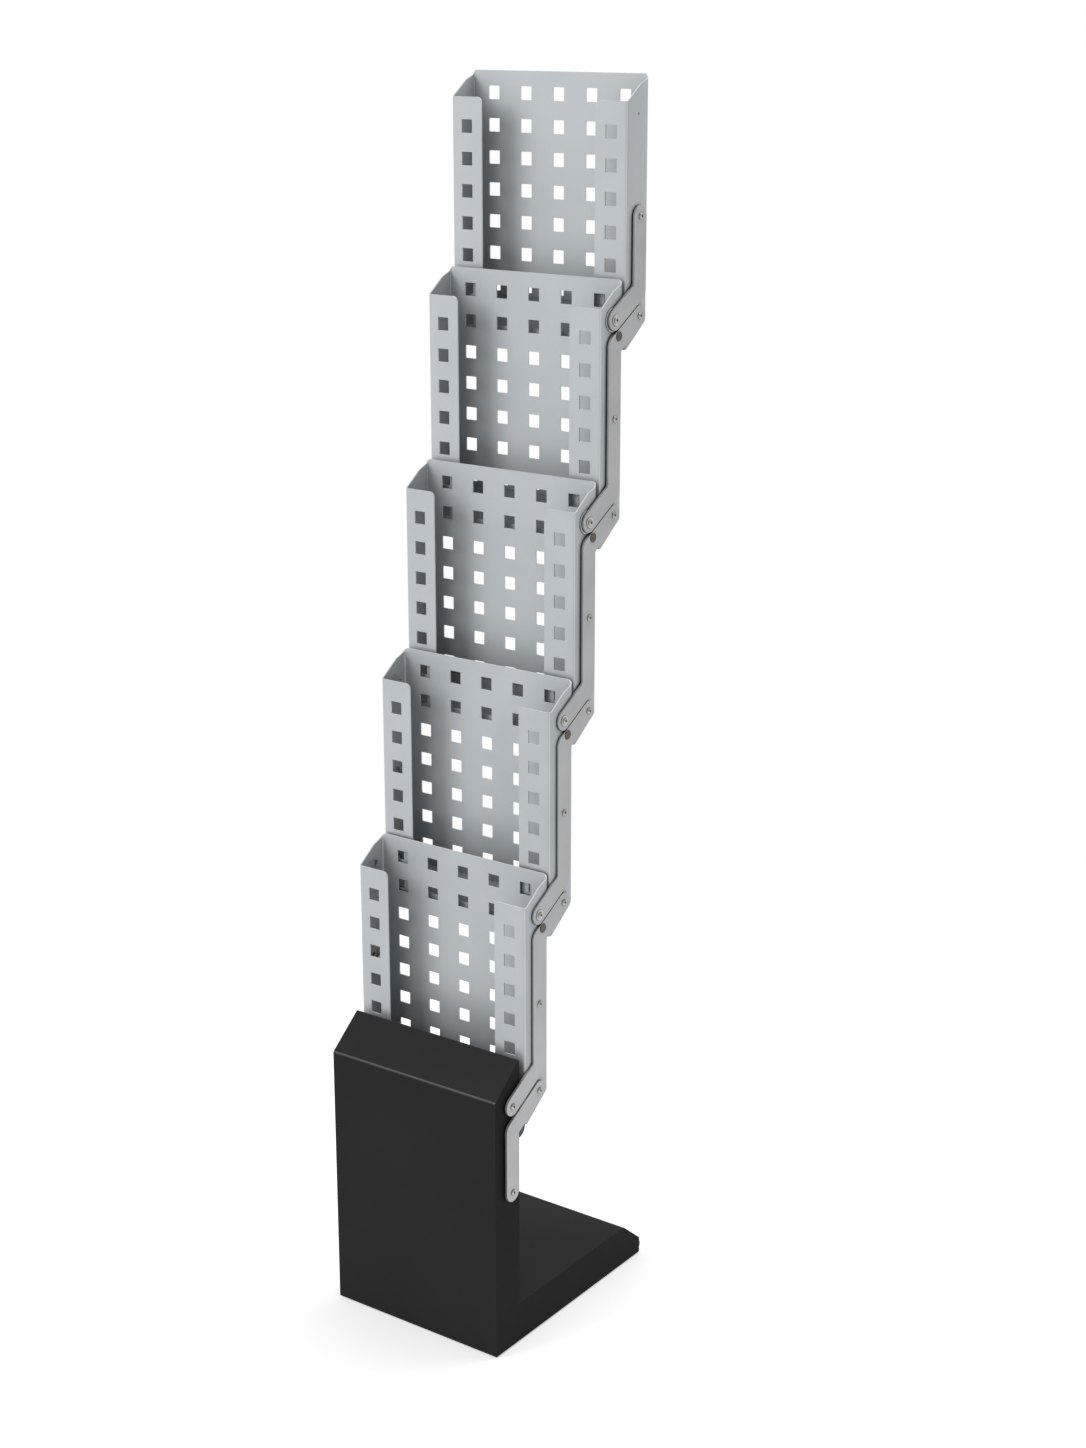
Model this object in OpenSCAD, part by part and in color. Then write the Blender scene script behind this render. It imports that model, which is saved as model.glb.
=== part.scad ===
// Folding brochure stand: five perforated trays on a scissor of dog-leg links, over a black base.
// The trays stay upright while the links swing them back and down behind the block, above the foot.
// Origin: middle of the footprint on the floor. +X is to the right seen from the front, +Y to the back.

/* [Tray] */
// Width of the trays and of the base
stand_w = 240; // [200:1:360]
// Depth of a tray over its sheet, front to back
tray_depth = 42; // [30:1:70]
// Free gap between a tray and the one behind it
tray_gap = 6; // [4:0.5:16]
// Thickness of the tray's sheet
sheet = 1.5; // [1:0.1:2.5]
// Outside radius of the folded corners
bend_r = 3; // [2.6:0.1:5]
// Width of each front flange that holds the brochures in
flange_w = 42; // [24:1:70]
// How far the back rim stands above the top pivot
rim_above_pivot = 42; // [35:1:80]
// How much lower the front rim is than the back rim
rim_drop = 28; // [10:1:60]
// How far the rear edge of the floor lies under the bottom pivot
floor_below_pivot = 7; // [6:1:40]
// How much lower the front edge of the floor is than its rear edge
floor_drop = 29; // [8:1:50]
// Radius of the rounded corners of back rim and flanges
rim_corner_r = 6; // [3:0.5:12]
// Height of the turned-up lips along the floor
floor_lip = 12; // [6:1:30]

/* [Perforation] */
// Side of a square hole
hole = 15; // [8:0.5:20]
// Spacing of the holes across the back
hole_pitch_x = 45; // [24:1:60]
// Spacing of the rows
hole_pitch_z = 36; // [24:1:60]
// Centre of the first row under the back rim
first_row_drop = 24.5; // [16:0.5:40]
// Least sheet left between a hole and an edge
hole_margin = 9; // [4:0.5:20]

/* [Links] */
// Distance between neighbouring pivots on a tray's side
pivot_spacing = 109; // [90:1:140]
// Distance from the pivots to the tray's back
pivot_to_back = 20; // [16:0.5:24]
// Width of a link, which is also the diameter of its ends
link_w = 23; // [16:0.5:28]
// Thickness of a link
link_t = 3; // [2:0.1:5]
// Gap between two links where they nest in the open stand
nest_gap = 1.4; // [0.8:0.1:3]
// Radius in the inner corners of a link
link_fillet = 4; // [1:0.5:8]
// Radius of the stop stud's head
stud_r = 5.5; // [3:0.25:5.5]
// Height of the stop stud's head
stud_h = 0.8; // [0.4:0.1:1.4]

/* [Base] */
// Height of the foot's flat top above the floor
foot_h = 52; // [38:1:90]
// Depth of the block
block_depth = 46; // [36:1:90]
// Height of the block's front edge above its top pivot
block_above_pivot = 13; // [10:1:60]
// Rise of the block's sloping top
block_rise = 38; // [10:1:70]
// Distance of the block's pivots from its rear face
block_pivot_inset = 18; // [16:0.5:30]
// Free gap between the block and the first tray
first_gap = 12; // [6:0.5:16]
// Length of the foot behind the last tray of the open stand
foot_overrun = 11; // [4:1:60]
// How much higher the trays hang over the foot than they would if it just cleared them
stow_gap = 10; // [4:0.5:20]
// Length of the foot's sloping end
chamfer_run = 36; // [10:1:80]
// Drop of the foot's sloping end
chamfer_drop = 30; // [8:1:30]
// Thickness of the base's sheet steel
base_wall = 2; // [1.5:0.1:3]
// Outside radius of the base's folded edges
base_bend_r = 1.5; // [1:0.1:5]
// Thickness of the steel ballast in the foot
ballast_t = 14; // [6:1:24]
// Height of the rubber glides under the base
glide_h = 2; // [1.5:0.5:8]
// Radius of a glide
glide_r = 8; // [5:0.5:12]
// Depth of the rubber bumper on the foot's rear end
bumper_depth = 4.5; // [2:0.5:6]
// Height of that bumper
bumper_h = 13; // [10:0.5:15]
// How far the two rubber stops stand out behind the block
stop_depth = 11.5; // [4:0.5:11.5]
// Radius of their round backs
stop_r = 12; // [12:0.5:20]
// Width of each stop
stop_w = 14; // [8:1:30]
// How far their middles lie under the block's top pivots
stop_drop = 36; // [20:1:60]

/* [Screws] */
// Radius of the pivot screws
screw_r = 2; // [1.5:0.1:2.5]
// Radius of a button head
head_r = 3.8; // [3.2:0.1:5]
// Height of a button head
head_h = 2.2; // [1.5:0.1:3]
// Width across the flats of the lock nuts
nut_af = 7; // [6.5:0.1:9]
// Thickness of the spacers between tray and link
spacer_t = 1.4; // [1:0.1:3]
// Radius of the spacers
spacer_r = 8; // [5:0.5:11]
// Radius of the larger spacers at the trays' top pivots
disc_r = 13.5; // [8:0.5:16]
// Thickness of the washers under the heads there
washer_t = 0.6; // [0.4:0.1:1.2]
// Radius of those washers
washer_r = 6; // [5:0.25:8]
// Radial clearance of a link on its screw
running_fit = 0.06; // [0.03:0.01:0.1]

/* [Hidden] */
$fn = 48;
tray_count = 5;

silver = "#b9bfc4";
link_grey = "#a9aaab";
black = "#2b2b2c";
rubber = "#161616";
steel = "#c9c5bd";
dark_steel = "#6b6660";

// Overrun of every cut past the face it leaves
cut = 1;
// Clearances that aren't the links' running fit
hole_fit = 0.1;
thread_fit = 0.03;
face_fit = 0.1;
plate_fit = 0.3;
// How far an arc stands over the straight edges that run into it, so that the two cross cleanly
edge_step = 0.01;

// The linkage: each link arm reaches one step back and one pivot spacing up
pivot_step = tray_depth + tray_gap;
base_step = block_pivot_inset + first_gap + tray_depth - pivot_to_back;
row_pitch = 2 * pivot_spacing;
link_angle = asin((link_w + nest_gap) / pivot_step);
stud_along = 2 * stud_r;
stud_edge = 0.7;
link_half = link_w / 2 - edge_step;

// Levels and places in the folded stand, from the front face of the block and the floor
tray_fall = row_pitch + floor_below_pivot + floor_drop;
base_pivot_z = foot_h + stow_gap + tray_fall;
base_pivot_y = block_depth - block_pivot_inset;
block_front_h = base_pivot_z + block_above_pivot;
foot_end = row_y(tray_count) + pivot_to_back + foot_overrun;
depth_all = foot_end + bumper_depth;

// Stack of a pivot from the tray's side outwards
link_x = stand_w / 2 + spacer_t + face_fit;
head_x = link_x + link_t + face_fit;

// Screws and nuts
head_rim = head_h / 5;
dome_h = head_h - head_rim;
dome_r = (head_r * head_r + dome_h * dome_h) / (2 * dome_h);
socket_af = 1.25 * screw_r;
socket_depth = 0.6 * head_h;
nut_h = 1.6 * screw_r;
collar_r = 0.44 * nut_af;
collar_h = 0.8 * screw_r;
screw_tail = 0.5 * screw_r;

// The base's inner fittings
base_z = glide_h;
bracket_leg = 20;
bracket_len = 30;
bracket_t = 2;
plate_z = base_z + base_wall;
glide_margin = 4;
glide_inset = glide_r + glide_margin;
fitting_row_shares = [0.2, 0.8];
ballast_side_gap = 4;
ballast_len_share = 0.7;
ballast_screw_share = 0.6;
ballast_screw_depth = 2 * screw_r;
bumper_end_gap = 2;

function arm_step(k) = k == 0 ? base_step : pivot_step;
// Every arm slants at one angle, so a longer step bends lower down
function bend_h(step) = pivot_spacing - step * tan(link_angle);
function row_y(k) = k == 0 ? base_pivot_y : row_y(k - 1) + arm_step(k - 1);
function row_z(k) = base_pivot_z + k * row_pitch;
function hex_r(flats) = flats / 2 / cos(30);
function unit(v) = v / norm(v);
function left_of(v) = [-v[1], v[0]];
function wrapped(points, i) = points[(i + len(points)) % len(points)];
// How far a row's pivots lie under its top one; the block has no third, the last tray no first
function pivot_drops(k) = [for (i = [(k == tray_count ? 1 : 0):(k == 0 ? 1 : 2)]) i * pivot_spacing];
function is_top_joint(k, drop) = k > 0 && drop == 0;

// Moves what is drawn from the block's front face to the row frame
module in_frame() {
    translate([0, -depth_all / 2, 0])
        children();
}

module both_sides() {
    for (side = [0, 1])
        mirror([side, 0, 0])
            children();
}

// Stands a flat outline in the Y-Z plane and gives it a thickness along +X
module side_plate(t) {
    rotate([90, 0, 90])
        linear_extrude(t)
            children();
}

// Corner points of an outline moved inwards by d; the outline runs anticlockwise
function inset(points, d) = [
    for (i = [0:len(points) - 1])
        let (n1 = left_of(unit(points[i] - wrapped(points, i - 1))))
        let (n2 = left_of(unit(wrapped(points, i + 1) - points[i])))
        points[i] + d * (n1 + n2) / (1 + n1 * n2)
];

// The sliver between a sharp corner and the arc that rounds it
module corner_sliver(corner, toward1, toward2, r) {
    d1 = unit(toward1 - corner);
    d2 = unit(toward2 - corner);
    half = acos(d1 * d2) / 2;
    centre = corner + unit(d1 + d2) * r / sin(half);
    difference() {
        polygon([corner, corner + d1 * r / tan(half), centre, corner + d2 * r / tan(half)]);
        translate(centre)
            circle(r + edge_step);
    }
}

// An outline with the numbered corners rounded
module rounded_outline(points, corners, r) {
    difference() {
        polygon(points);
        for (i = corners)
            corner_sliver(points[i], wrapped(points, i - 1), wrapped(points, i + 1), r);
    }
}

module rounded_rectangle(w, d, r) {
    translate([-w / 2, r])
        square([w, d - 2 * r]);
    translate([r - w / 2, 0])
        square([w - 2 * r, d]);
    for (x = [r - w / 2, w / 2 - r])
        for (y = [r, d - r])
            translate([x, y])
                circle(r);
}

// One straight stretch of a link between two points, with a round far end
module bar(from, to) {
    along = to - from;
    translate(from)
        rotate(atan2(along[1], along[0]))
            translate([0, -link_half])
                square([norm(along), 2 * link_half]);
    translate(to)
        circle(d = link_w);
}

// An arm of a link from its middle pivot: straight up, then back over a step
module arm(step) {
    bend = [0, bend_h(step)];
    tip = [step, pivot_spacing];
    inner = [link_half, bend_h(step) + link_half * (tan(link_angle) - 1 / cos(link_angle))];
    bar([0, 0], bend);
    bar(bend, tip);
    corner_sliver(inner, inner - [0, link_w], inner + tip - bend, link_fillet);
}

module link_outline(k) {
    difference() {
        union() {
            if (k < tray_count)
                arm(arm_step(k));
            if (k > 0)
                rotate(180)
                    arm(arm_step(k - 1));
            if (k == 0 || k == tray_count)
                circle(d = link_w);
        }
        if (k < tray_count)
            translate([arm_step(k), pivot_spacing])
                circle(screw_r + running_fit);
        if (k > 0)
            translate([-arm_step(k - 1), -pivot_spacing])
                circle(screw_r + running_fit);
        circle(screw_r + running_fit);
    }
}

// Link k hangs on tray k by its middle; the first has only an upper arm, the last only a lower one
module link(k, side) {
    color(link_grey)
        in_frame()
            mirror([side == "left" ? 1 : 0, 0, 0])
                translate([link_x, row_y(k), row_z(k) - pivot_spacing])
                    side_plate(link_t)
                        link_outline(k);
}

// Dark studs near the upper bend, where the next link up comes to rest in the open stand
module stop_studs(k) {
    along = [cos(link_angle), sin(link_angle)];
    bend = [0, bend_h(arm_step(k))];
    place = bend + stud_along * along + (link_w / 2 - stud_r - stud_edge) * left_of(along);
    color(dark_steel)
        in_frame()
            both_sides()
                translate([link_x + link_t, row_y(k) + place[0], row_z(k) - pivot_spacing + place[1]])
                    rotate([0, 90, 0])
                        cylinder(h = stud_h, r1 = stud_r, r2 = stud_r - stud_h / 2);
}

// A button-head screw along -X: the head's underside is at zero and the shank runs inwards
module button_screw(grip) {
    difference() {
        rotate([0, 90, 0])
            rotate_extrude() {
                translate([0, -grip])
                    square([screw_r, grip + head_rim]);
                square([head_r, head_rim]);
                intersection() {
                    translate([0, head_h - dome_r])
                        circle(dome_r);
                    translate([0, head_rim])
                        square([head_r, head_h]);
                }
            }
        translate([head_h - socket_depth, 0, 0])
            rotate([0, 90, 0])
                cylinder(h = socket_depth + cut, r = hex_r(socket_af), $fn = 6);
    }
}

// A lock nut with its collar pointing along -X from zero
module lock_nut() {
    difference() {
        union() {
            translate([-nut_h, 0, 0])
                rotate([0, 90, 0])
                    cylinder(h = nut_h, r = hex_r(nut_af), $fn = 6);
            translate([-nut_h - collar_h, 0, 0])
                rotate([0, 90, 0])
                    cylinder(h = collar_h + nut_h / 2, r = collar_r);
        }
        translate([-nut_h - collar_h - cut, 0, 0])
            rotate([0, 90, 0])
                cylinder(h = nut_h + collar_h + 2 * cut, r = screw_r + thread_fit);
    }
}

module ring(t, outer, inner) {
    rotate([0, 90, 0])
        difference() {
            cylinder(h = t, r = outer);
            translate([0, 0, -cut])
                cylinder(h = t + 2 * cut, r = inner);
        }
}

// Moves to a pivot of row k, at the distance x from the middle
module at_pivot(k, drop, x) {
    translate([x, row_y(k), row_z(k) - drop])
        children();
}

module pivot_screws(k, wall) {
    grip = head_x - stand_w / 2 + wall + nut_h + collar_h + screw_tail;
    color(steel)
        in_frame()
            both_sides()
                for (drop = pivot_drops(k)) {
                    lift = is_top_joint(k, drop) ? washer_t : 0;
                    at_pivot(k, drop, head_x + lift)
                        button_screw(grip + lift);
                }
}

module pivot_nuts(k, wall) {
    color(steel)
        in_frame()
            both_sides()
                for (drop = pivot_drops(k))
                    at_pivot(k, drop, stand_w / 2 - wall)
                        lock_nut();
}

// A spacer lies behind each link; a tray's top pivot has a larger one, and a washer under the head
module pivot_washers(k) {
    color(steel)
        in_frame()
            both_sides()
                for (drop = pivot_drops(k)) {
                    at_pivot(k, drop, stand_w / 2)
                        ring(spacer_t, is_top_joint(k, drop) ? disc_r : spacer_r, screw_r + hole_fit);
                    if (is_top_joint(k, drop))
                        at_pivot(k, drop, head_x)
                            ring(washer_t, washer_r, screw_r + hole_fit);
                }
}

module pivot_bores(drops, wall) {
    both_sides()
        for (drop = drops)
            translate([stand_w / 2 - wall - cut, 0, -drop])
                rotate([0, 90, 0])
                    cylinder(h = wall + 2 * cut, r = screw_r + hole_fit);
}

// Local frame of a tray: zero height at its top pivots, zero depth at its front face
module at_tray(k) {
    in_frame()
        translate([0, row_y(k) + pivot_to_back - tray_depth, row_z(k)])
            children();
}

// What the rims of side and flange lose above the sloping line
module rim_cut() {
    low = rim_above_pivot - rim_drop;
    translate([-stand_w / 2 - cut, 0, 0])
        side_plate(stand_w + 2 * cut)
            polygon([
                [-cut, low],
                [sheet, low],
                [tray_depth - sheet, rim_above_pivot],
                [tray_depth - sheet, rim_above_pivot + cut],
                [-cut, rim_above_pivot + cut],
            ]);
}

// What the sides lose under the floor's slope
module floor_cut() {
    low = -tray_fall;
    high = -row_pitch - floor_below_pivot;
    translate([-stand_w / 2 - cut, 0, 0])
        side_plate(stand_w + 2 * cut)
            polygon([
                [sheet, low - cut],
                [tray_depth + cut, low - cut],
                [tray_depth + cut, high],
                [tray_depth - sheet, high],
                [sheet, low],
            ]);
}

// Rounds one upright corner of a panel that lies across the stand, seen from the front
module panel_corner(x, z, toward_x, toward_z, from_y, to_y) {
    corner = [x, z];
    translate([0, to_y, 0])
        rotate([90, 0, 0])
            linear_extrude(to_y - from_y)
                union() {
                    corner_sliver(corner, corner + [toward_x, 0], corner + [0, toward_z], rim_corner_r);
                    // Clears the faces that only touch the corner
                    translate(corner)
                        circle(cut / 2);
                }
}

module square_hole(x, z, from_y, to_y) {
    translate([x - hole / 2, from_y, z - hole / 2])
        cube([hole, to_y - from_y, hole]);
}

// Counts of holes that leave the margin free at every edge
side_columns = floor((stand_w / 2 - bend_r - hole_margin - hole / 2) / hole_pitch_x);
back_h = rim_above_pivot + row_pitch + floor_below_pivot;
last_back_row = floor((back_h - hole_margin - hole / 2 - first_row_drop) / hole_pitch_z);
flange_reach = back_h + floor_drop;
last_flange_row = floor((flange_reach - hole_margin - hole / 2 - first_row_drop) / hole_pitch_z);
first_flange_row = ceil((rim_drop + hole_margin + hole / 2 - first_row_drop) / hole_pitch_z);
flange_x = stand_w / 2 - flange_w;
function hole_z(row) = rim_above_pivot - first_row_drop - row * hole_pitch_z;

// From where to where a cut through a tray's back runs
back_in = tray_depth - sheet - cut;
back_out = tray_depth + cut;

module tray_shell(k) {
    color(silver)
        at_tray(k)
            difference() {
                translate([0, 0, -tray_fall])
                    linear_extrude(rim_above_pivot + tray_fall)
                        difference() {
                            rounded_rectangle(stand_w, tray_depth, bend_r);
                            translate([0, sheet])
                                rounded_rectangle(stand_w - 2 * sheet, tray_depth - 2 * sheet, bend_r - sheet);
                            translate([-flange_x, -cut])
                                square([2 * flange_x, sheet + 2 * cut]);
                        }
                rim_cut();
                floor_cut();
                for (x = [-1, 1]) {
                    panel_corner(x * stand_w / 2, rim_above_pivot, -x, -1, tray_depth - bend_r, back_out);
                    panel_corner(x * flange_x, rim_above_pivot - rim_drop, x, -1, -cut, sheet + cut);
                    panel_corner(x * flange_x, -tray_fall, x, 1, -cut, sheet + cut);
                }
                for (column = [-side_columns:side_columns])
                    for (row = [0:last_back_row])
                        square_hole(column * hole_pitch_x, hole_z(row), back_in, back_out);
                for (x = [-1, 1])
                    for (row = [first_flange_row:last_flange_row])
                        square_hole(x * (flange_x + flange_w / 2), hole_z(row), -cut, sheet + cut);
                translate([0, tray_depth - pivot_to_back, 0])
                    pivot_bores([0, pivot_spacing, row_pitch], sheet);
            }
}

// The floor follows the sides' lower edges and is spot-welded by its lips to back and flanges
module tray_floor(k) {
    front = sheet;
    rear = tray_depth - sheet;
    low = -tray_fall + sheet;
    high = -row_pitch - floor_below_pivot + sheet;
    slope = (high - low) / (rear - front);
    rise = sheet * norm([1, slope]);
    color(silver)
        at_tray(k)
            translate([bend_r - stand_w / 2, 0, 0])
                side_plate(stand_w - 2 * bend_r)
                    polygon([
                        [front, low],
                        [rear, high],
                        [rear, high + floor_lip],
                        [rear - sheet, high + floor_lip],
                        [rear - sheet, high + rise - slope * sheet],
                        [front + sheet, low + rise + slope * sheet],
                        [front + sheet, low + floor_lip],
                        [front, low + floor_lip],
                    ]);
}

// Outline of block and foot from the side, anticlockwise from the front lower edge
base_outline = [
    [0, base_z],
    [foot_end, base_z],
    [foot_end, foot_h - chamfer_drop],
    [foot_end - chamfer_run, foot_h],
    [block_depth, foot_h],
    [block_depth, block_front_h + block_rise],
    [0, block_front_h],
];

module base_housing() {
    inner = inset(base_outline, base_wall);
    open_bottom = [
        [inner[0][0], base_z - cut],
        [inner[1][0], base_z - cut],
        inner[1],
        inner[0],
    ];
    color(black)
        in_frame()
            difference() {
                translate([-stand_w / 2, 0, 0])
                    side_plate(stand_w)
                        rounded_outline(base_outline, [2, 3, 5, 6], base_bend_r);
                translate([base_wall - stand_w / 2, 0, 0])
                    side_plate(stand_w - 2 * base_wall) {
                        polygon(inner);
                        polygon(open_bottom);
                    }
                translate([0, base_pivot_y, base_pivot_z])
                    pivot_bores([0, pivot_spacing], base_wall);
            }
}

// Places of the fixings through the bottom plate
bracket_x = stand_w / 2 - base_wall - bracket_leg / 2;
ballast_w = stand_w - 2 * (base_wall + bracket_leg + ballast_side_gap);
ballast_len = foot_end * ballast_len_share;

module bracket_places() {
    both_sides()
        for (share = fitting_row_shares)
            translate([bracket_x, foot_end * share, 0])
                children();
}

module ballast_places() {
    reach = ballast_screw_share / 2;
    both_sides()
        for (y = [-1, 1])
            translate([reach * ballast_w, foot_end / 2 + y * reach * ballast_len, 0])
                children();
}

module base_bottom_plate() {
    gap = base_wall + plate_fit;
    color(black)
        in_frame()
            difference() {
                translate([gap - stand_w / 2, gap, base_z])
                    cube([stand_w - 2 * gap, foot_end - 2 * gap, base_wall]);
                for (places = [0, 1])
                    translate([0, 0, base_z - cut])
                        plate_fixings(places)
                            cylinder(h = base_wall + 2 * cut, r = screw_r + hole_fit);
            }
}

module plate_fixings(which) {
    if (which == 0)
        bracket_places()
            children();
    else
        ballast_places()
            children();
}

// Angle brackets join the bottom plate to the housing's sides
module base_brackets() {
    color(steel)
        in_frame()
            bracket_places()
                difference() {
                    translate([-bracket_leg / 2, -bracket_len / 2, plate_z]) {
                        cube([bracket_leg, bracket_len, bracket_t]);
                        translate([bracket_leg - bracket_t, 0, 0])
                            cube([bracket_t, bracket_len, bracket_leg]);
                    }
                    translate([0, 0, plate_z - cut])
                        cylinder(h = bracket_t + 2 * cut, r = screw_r + thread_fit);
                }
}

// A steel slab on the bottom plate keeps the tall stand from tipping
module base_ballast() {
    depth = ballast_screw_depth + cut;
    color(dark_steel)
        in_frame()
            difference() {
                translate([-ballast_w / 2, (foot_end - ballast_len) / 2, plate_z])
                    cube([ballast_w, ballast_len, ballast_t]);
                translate([0, 0, plate_z - cut])
                    ballast_places()
                        cylinder(h = depth + cut, r = screw_r + thread_fit);
            }
}

module upright_screw(grip) {
    translate([0, 0, base_z])
        rotate([0, 90, 0])
            button_screw(grip);
}

module base_plate_screws() {
    color(steel)
        in_frame() {
            bracket_places()
                upright_screw(base_wall + bracket_t + screw_tail);
            ballast_places()
                upright_screw(base_wall + ballast_screw_depth);
        }
}

module base_glides() {
    color(rubber)
        in_frame()
            both_sides()
                for (y = [glide_inset, foot_end - glide_inset])
                    translate([stand_w / 2 - glide_inset, y, 0])
                        cylinder(h = glide_h, r1 = glide_r - glide_h / 4, r2 = glide_r);
}

// Half-round strip across the foot's rear end
module base_rear_bumper() {
    arc_r = (bumper_h * bumper_h / 4 + bumper_depth * bumper_depth) / (2 * bumper_depth);
    half = stand_w / 2 - bumper_end_gap;
    lift = base_z + (foot_h - chamfer_drop - base_bend_r - base_z) / 2;
    color(rubber)
        in_frame()
            translate([-half, foot_end, lift])
                side_plate(2 * half)
                    intersection() {
                        translate([bumper_depth - arc_r, 0])
                            circle(arc_r);
                        translate([0, -bumper_h / 2])
                            square([bumper_depth, bumper_h]);
                    }
}

// Rounded stops on the block's rear face that the first tray swings down to
module base_stop_bumpers() {
    color(rubber)
        in_frame()
            both_sides()
                translate([stand_w / 2 - stop_w, block_depth, base_pivot_z - stop_drop])
                    side_plate(stop_w)
                        intersection() {
                            translate([stop_depth - stop_r, 0])
                                circle(stop_r);
                            translate([0, -stop_r])
                                square([stop_depth, 2 * stop_r]);
                        }
}

base_housing();
base_bottom_plate();
base_ballast();
base_brackets();
base_plate_screws();
base_glides();
base_rear_bumper();
pivot_screws(0, base_wall);  // base_pivot_screws
pivot_nuts(0, base_wall);  // base_pivot_nuts
pivot_washers(0);  // base_pivot_washers
base_stop_bumpers();
for (k = [0:tray_count]) {
    link(k, "left");
    link(k, "right");
}
for (k = [1:tray_count - 1])
    stop_studs(k);
for (k = [1:tray_count]) {
    tray_shell(k);
    tray_floor(k);
    pivot_screws(k, sheet);
    pivot_nuts(k, sheet);
    pivot_washers(k);
}
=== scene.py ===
# %% The frame
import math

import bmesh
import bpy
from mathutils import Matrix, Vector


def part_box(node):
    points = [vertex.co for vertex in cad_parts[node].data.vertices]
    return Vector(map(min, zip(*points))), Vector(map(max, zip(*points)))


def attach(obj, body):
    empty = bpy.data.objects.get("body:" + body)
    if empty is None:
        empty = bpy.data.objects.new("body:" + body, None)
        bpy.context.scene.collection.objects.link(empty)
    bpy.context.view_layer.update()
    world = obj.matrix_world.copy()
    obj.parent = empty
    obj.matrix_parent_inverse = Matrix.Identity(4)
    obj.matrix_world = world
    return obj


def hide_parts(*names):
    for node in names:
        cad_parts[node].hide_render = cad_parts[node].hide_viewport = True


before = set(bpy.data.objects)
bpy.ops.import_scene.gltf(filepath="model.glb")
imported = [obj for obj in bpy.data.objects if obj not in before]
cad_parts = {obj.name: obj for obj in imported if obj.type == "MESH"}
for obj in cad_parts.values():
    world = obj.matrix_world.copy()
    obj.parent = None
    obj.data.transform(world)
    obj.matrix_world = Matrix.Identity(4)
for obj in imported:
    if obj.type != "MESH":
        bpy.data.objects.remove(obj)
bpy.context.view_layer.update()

# %% [markdown]
# # A folding stand for brochures
#
# Five trays of perforated sheet steel stand above and behind one another. Flat dog-leg links carry them on
# both sides, and a black base of folded steel holds the lowest links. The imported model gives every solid
# part in metres, at the place where it belongs, so each piece that follows is made in place and nothing
# is fitted by eye. The sheet-metal parts are modelled again, because their edges and bends catch the light.

MM = 0.001
front_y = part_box("base_housing")[0].y
print("parts in the frame:", len(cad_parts), " front of the block at y =", round(front_y, 4))

# %% [markdown]
# ## The camera
#
# The photograph was taken from the right of the stand, a little above its top, with a normal lens. The
# camera's place and focal length were worked out from edges whose real lengths are known. It looks down by
# 17 degrees and isn't shifted, so the same lens works for every other view.

# %% Camera
LOOKS_DOWN, LOOKS_LEFT = math.radians(17.07), math.radians(35.63)
camera_data = bpy.data.cameras.new("camera")
camera_data.sensor_width = 36
camera_data.lens = 58.8
camera_data.clip_end = 100
camera = bpy.data.objects.new("camera", camera_data)
bpy.context.scene.collection.objects.link(camera)
camera.location = (1.5820, -2.1004, 1.5267)
camera.rotation_euler = (math.pi / 2 - LOOKS_DOWN, 0, LOOKS_LEFT)
bpy.context.scene.camera = camera
print("camera at", tuple(round(v, 3) for v in camera.location), "lens", camera_data.lens)

# %% [markdown]
# ## Colours and nodes
#
# Colours are easiest to read as the hex values of a paint chip, but a shader works with linear light. One
# function turns one into the other. A second one adds a node, sets it and links it in a single line, so a
# material can be read from top to bottom. A third one paints shade into a colour where the surface is
# closed in, in gaps, sockets and pockets. The ambient occlusion node tells how open a place is, from 0 at
# the bottom of a slot to 1 on a plain face, and the less open a place is, the darker the painted shade.

# %% Colours and nodes
def linear(hex_colour):
    """The linear colour of an sRGB hex value."""
    parts = [int(hex_colour[i:i + 2], 16) / 255 for i in (1, 3, 5)]
    return tuple(c / 12.92 if c <= 0.04045 else ((c + 0.055) / 1.055) ** 2.4 for c in parts) + (1,)


def add(tree, kind, inputs=None, **settings):
    """Adds a node. An input that is given a socket is linked, and one that is given a value is set."""
    node = tree.nodes.new(kind)
    for name, value in settings.items():
        setattr(node, name, value)
    for name, value in (inputs or {}).items():
        if isinstance(value, bpy.types.NodeSocket):
            tree.links.new(value, node.inputs[name])
        else:
            node.inputs[name].default_value = value
    return node


def new_material(name):
    """An empty material, its node tree and its one principled shader."""
    material = bpy.data.materials.new(name)
    material.use_nodes = True
    tree = material.node_tree
    tree.nodes.clear()
    shader = add(tree, "ShaderNodeBsdfPrincipled")
    add(tree, "ShaderNodeOutputMaterial", {"Surface": shader.outputs["BSDF"]})
    return material, tree, shader


def per_metre(size_mm):
    """The scale of a noise whose grains are about that many millimetres wide."""
    return 1 / (size_mm * MM)


# %% Painted shade in recesses
def painted_recess_shade(tree, colour, reach_mm, darkest, closed, clear):
    """The colour with painted shade in recesses up to that many millimetres wide.

    At an openness of closed only the share darkest of the colour is left, and from clear on all of it.
    """
    # Painted shade: the less open a place is, the darker its colour
    openness = add(tree, "ShaderNodeAmbientOcclusion", {"Distance": reach_mm * MM}, samples=8)
    share = add(tree, "ShaderNodeMapRange", {
        "Value": openness.outputs["AO"], "From Min": closed, "From Max": clear, "To Min": darkest})
    return add(tree, "ShaderNodeVectorMath", {0: colour, "Scale": share.outputs["Result"]},
               operation="SCALE").outputs["Vector"]
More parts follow.
